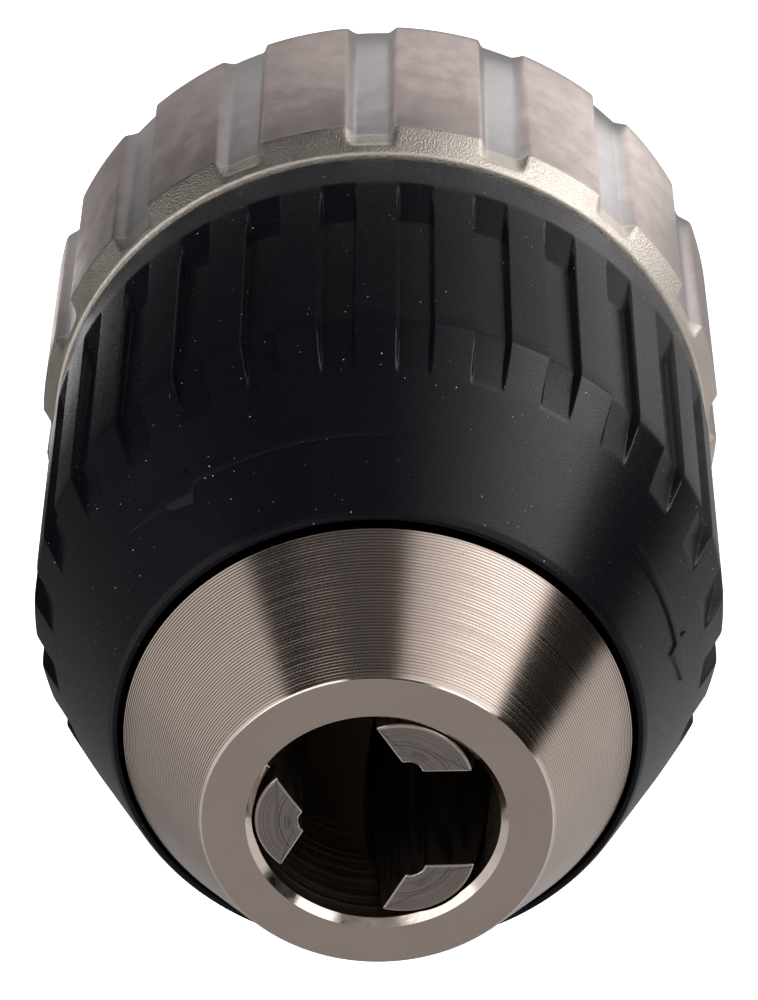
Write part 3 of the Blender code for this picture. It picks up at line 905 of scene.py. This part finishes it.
def make_jaw(index, steel, shade, polished):
    name = f"jaw_{index + 1}"
    blank = jaw_axis_rod("blank", JAW_RADIUS, JAW_TAIL, JAW_COLUMNS)
    jaw = add(f"{name}_finish", blank.data.copy())
    jaw.data.transform(blank.matrix_world)
    bpy.data.objects.remove(blank)
    square = [(-OVERCUT, -OVERCUT), (OVERCUT, -OVERCUT), (OVERCUT, OVERCUT), (-OVERCUT, OVERCUT)]
    face = prism("face_cut", square, JAW_FRONT, -OVERCUT)
    grip = prism("grip_cut", grip_outline(), LENGTH, -OVERCUT)
    tail = [
        (TAIL_BEVEL_RADIUS, JAW_TAIL - OVERCUT), (TAIL_BEVEL_RADIUS + OVERCUT, JAW_TAIL - OVERCUT),
        (TAIL_BEVEL_RADIUS + OVERCUT, JAW_TAIL + OVERCUT), (TAIL_BEVEL_RADIUS, JAW_TAIL + OVERCUT),
    ]
    carve(jaw, tooth_rings(index) + [turned("tail_cut", tail, TOOL_COLUMNS), face, grip, pip()])
    round_front_edges(jaw.data, JAW_EDGE)
    jaw.rotation_euler = (0, 0, 2 * pi * index / JAW_COUNT)
    bpy.context.view_layer.update()
    body = "jaw_" + "abc"[index]
    finish_piece(jaw, body, [name], "jaw_steel", steel, shade, polished)
    # Faces behind the front, the sides and the pocket take the darker steel: painted shade.
    for side in jaw.data.polygons:
        behind = LENGTH - side.center.z / MM - JAW_FRONT
        pocket = near_pip(side.center) and side.normal.z < JAW_FORWARD
        if behind > JAW_FACE_ZONE or side.normal.z < SIDEWAYS or pocket:
            side.material_index = SHADED
        elif side.normal.z < JAW_FORWARD:
            side.material_index = POLISHED


def make_balls(steel):
    for name in sorted(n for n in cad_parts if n.startswith("ball_") and n != "ball_cage"):
        low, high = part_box(name)
        bm = bmesh.new()
        bmesh.ops.create_icosphere(bm, subdivisions=4, radius=BALL_RADIUS * MM)
        mesh = bpy.data.meshes.new(f"{name}_finish")
        bm.to_mesh(mesh)
        bm.free()
        mesh.transform(Matrix.Translation((Vector(low) + Vector(high)) / 2))
        mesh.shade_smooth()
        finish_piece(add(f"{name}_finish", mesh), "bearing", [name], "ball_steel", steel)


def refinish(materials):
    """Gives the inner CAD nodes that stay a machined finish in place of a flat colour."""
    for node, mat in materials.items():
        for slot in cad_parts[node].material_slots:
            slot.material = mat


# Studio


def glow(name, tones):
    """An emission whose brightness follows the direction from the chuck, measured from the camera's."""
    mat = bpy.data.materials.new(name)
    mat.use_nodes = True
    tree = mat.node_tree
    tree.nodes.clear()
    add_node = tree.nodes.new
    where = add_node("ShaderNodeTexCoord")
    turn = add_node("ShaderNodeMapping")
    turn.inputs["Rotation"].default_value = (0, 0, -(VIEW_HEADING + pi / 2))
    wheel = add_node("ShaderNodeTexGradient")
    wheel.gradient_type = "RADIAL"
    ramp = add_node("ShaderNodeValToRGB")
    light = add_node("ShaderNodeEmission")
    out = add_node("ShaderNodeOutputMaterial")
    peak = max(brightness for _, brightness in tones)
    stops = ramp.color_ramp.elements
    while len(stops) < len(tones):
        stops.new(0.5)
    for stop, (degrees, brightness) in zip(stops, reversed(tones)):
        stop.position = 0.5 - degrees / 360
        stop.color = (brightness / peak, brightness / peak, brightness / peak, 1)
    light.inputs["Strength"].default_value = peak
    tree.links.new(where.outputs["Object"], turn.inputs["Vector"])
    tree.links.new(turn.outputs[0], wheel.inputs["Vector"])
    tree.links.new(wheel.outputs["Fac"], ramp.inputs[0])
    tree.links.new(ramp.outputs[0], light.inputs["Color"])
    tree.links.new(light.outputs[0], out.inputs["Surface"])
    return mat


def card(name, profile, tones):
    """A turned card round the chuck that only reflections see. Its profile is (radius, height) points."""
    points = []
    for radius, height in profile:
        for step in range(CARD_SEGMENTS):
            angle = 2 * pi * step / CARD_SEGMENTS
            points.append(Vector((radius * cos(angle), radius * sin(angle), height)) * MM)
    mesh = bpy.data.meshes.new(name)
    mesh.from_pydata(points, [], side_faces(len(profile), CARD_SEGMENTS))
    mesh.materials.append(glow(name, tones))
    item = add(name, mesh)
    for view in ("camera", "diffuse", "shadow", "transmission", "volume_scatter"):
        setattr(item, f"visible_{view}", False)


def make_floor():
    """A plain pale table top that glows a little, so that its shadows stay soft."""
    half = FLOOR_SIZE / 2 * MM
    mesh = bpy.data.meshes.new("floor")
    corners = [(-half, -half, 0), (half, -half, 0), (half, half, 0), (-half, half, 0)]
    mesh.from_pydata(corners, [], [(0, 1, 2, 3)])
    n = Nodes("floor", (0.8, 0.8, 0.8), 0.9, 0.0)
    n.set("Specular IOR Level", 0.0)
    n.set("Emission Color", (1, 1, 1, 1))
    n.set("Emission Strength", FLOOR_GLOW)
    mesh.materials.append(n.done())
    floor_top = add("floor", mesh)
    floor_top.visible_glossy = False


def make_lights():
    sky = bpy.data.worlds.new("studio")
    sky.use_nodes = True
    sky.node_tree.nodes["Background"].inputs["Color"].default_value = (SKY_BRIGHTNESS,) * 3 + (1,)
    bpy.context.scene.world = sky
    for name, turn, lift, power, size in LAMPS:
        data = bpy.data.lights.new(name, "AREA")
        data.energy = power
        data.size = size
        lamp = bpy.data.objects.new(name, data)
        bpy.context.scene.collection.objects.link(lamp)
        heading = VIEW_HEADING + pi / 2 + radians(turn)
        level, up = cos(radians(lift)), sin(radians(lift))
        toward = Vector((cos(heading) * level, sin(heading) * level, up))
        lamp.location = toward * LAMP_DISTANCE
        lamp.rotation_euler = toward.to_track_quat("Z", "Y").to_euler()
        lamp.visible_camera = False
        lamp.visible_glossy = False


def make_camera():
    """A long lens above and in front of the chuck, tipped off its axis, with the nose nearest."""
    data = bpy.data.cameras.new("camera")
    data.lens = LENS
    data.sensor_width = SENSOR
    data.clip_start = 0.01
    camera = bpy.data.objects.new("camera", data)
    bpy.context.scene.collection.objects.link(camera)
    turn = Matrix.Rotation(VIEW_HEADING, 3, "Z") @ Matrix.Rotation(-VIEW_TILT, 3, "X")
    turn = turn @ Matrix.Rotation(VIEW_ROLL, 3, "Z")
    spot = place(0, 0, 0) - turn @ (NOSE_FROM_CAMERA * MM)
    camera.matrix_world = Matrix.Translation(spot) @ turn.to_4x4()
    bpy.context.scene.camera = camera


make_camera()
make_floor()
make_lights()
card("wall_card", [(WALL_RADIUS, 0), (WALL_RADIUS, WALL_HEIGHT)], WALL_TONES)
card("soft_box_card", [(WALL_RADIUS, WALL_HEIGHT), (WALL_RADIUS, BOX_TOP)], BOX_TONES)
for zone, (inner, outer), zone_tones in TABLE_ZONES:
    card(f"{zone}_table_card", [(inner, TABLE_LIFT), (outer, TABLE_LIFT)], zone_tones)

polished_steel = edge_steel()
make_body(turned_steel(), bore_shade_steel(), polished_steel)
nylon = moulded_plastic()
make_sleeve(nylon)
for arrow_name, arrow_start, arrow_end in TURN_ARROWS:
    make_arrow(arrow_name, radians(arrow_start), radians(arrow_end), nylon)
make_ring(ring_nickel(), rim_highlight_nickel())
ground_steel = jaw_steel()
flank_shade_steel = jaw_shade_steel()
for jaw_index in range(JAW_COUNT):
    make_jaw(jaw_index, ground_steel, flank_shade_steel, polished_steel)
make_balls(polished_ball())
nut_steel = machined_steel("nut_steel_machined", (0.36, 0.34, 0.32), (0.26, 0.25, 0.24), 0.38, 0.12)
refinish({
    "nut_half_a": nut_steel,
    "nut_half_b": nut_steel,
    "nut_band": machined_steel("band_zinc", (0.56, 0.55, 0.53), (0.46, 0.45, 0.44), 0.33, 0.3),
    "thrust_washer": machined_steel("race_ground", (0.58, 0.57, 0.56), (0.5, 0.49, 0.48), 0.18, 0.06),
    "ball_cage": machined_steel("cage_brass", (0.66, 0.52, 0.27), (0.55, 0.42, 0.2), 0.32, 0.2),
})

bpy.context.scene.view_settings.view_transform = "Standard"
